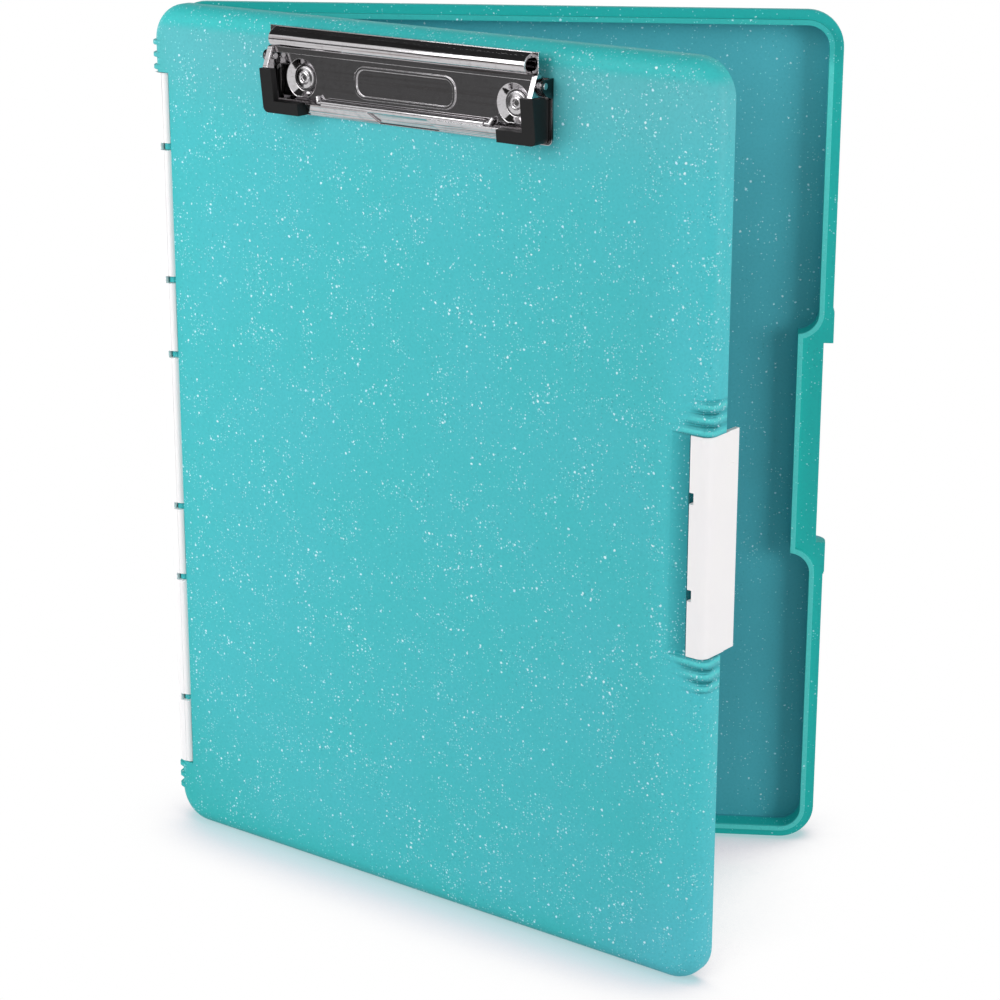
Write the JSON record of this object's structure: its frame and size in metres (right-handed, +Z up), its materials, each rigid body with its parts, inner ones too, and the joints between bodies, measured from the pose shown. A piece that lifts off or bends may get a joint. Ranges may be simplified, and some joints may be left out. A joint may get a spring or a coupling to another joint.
{
  "type": "storage clipboard box",
  "caption": "Slim hinged plastic case for letter paper, with a low spring clip on the lid, a spine strip hinge and a snap latch, standing part open.",
  "frame": {"origin": "middle of the flat bottom face that the tray stands on", "axes": "+Z up along the page height, +X along the tray's width away from the spine, +Y towards the tray's back face"},
  "size_m": [0.2474, 0.1377, 0.3175],
  "materials": {
    "teal_glitter_plastic": "satin with fine glitter flakes",
    "white_plastic": "satin",
    "chrome_sheet": "polished",
    "steel_wire": "polished",
    "black_plastic": "fine matte"
  },
  "bodies": {
    "tray": {"base_tray": "teal_glitter_plastic"},
    "spine": {"spine_strip": "white_plastic"},
    "lid": {"lid_shell": "teal_glitter_plastic", "clip_plate": "chrome_sheet", "clip_pin_left": "chrome_sheet", "clip_pin_right": "chrome_sheet", "clip_rivet_left": "chrome_sheet", "clip_rivet_right": "chrome_sheet"},
    "lever": {"clip_lever": "chrome_sheet", "clip_spring": "steel_wire", "clip_grip_left": "black_plastic", "clip_grip_right": "black_plastic"},
    "latch": {"latch": "white_plastic"}
  },
  "joints": [
    {"name": "tray_to_spine", "type": "hinge", "parent": "tray", "child": "spine", "pos_m": [-0.11555, 0.00395, 0.15875], "axis": [0, 0, 1], "range_deg": [-59, 31]},
    {"name": "spine_to_lid", "type": "hinge", "parent": "spine", "child": "lid", "pos_m": [-0.12127, -0.00556, 0.15875], "axis": [0, 0, 1], "range_deg": [-90, 0]},
    {"name": "latch_hinge", "type": "hinge", "parent": "lid", "child": "latch", "pos_m": [0.0762, -0.12485, 0.15875], "axis": [0, 0, 1], "range_deg": [-88, 2]},
    {"name": "clip_lever_hinge", "type": "hinge", "parent": "lid", "child": "lever", "pos_m": [-0.02778, -0.07113, 0.3045], "axis": [-0.8572, 0.515, 0], "range_deg": [0, 16], "stiffness_Nm_per_rad": 0.5, "springref_deg": -17.19}
  ]
}
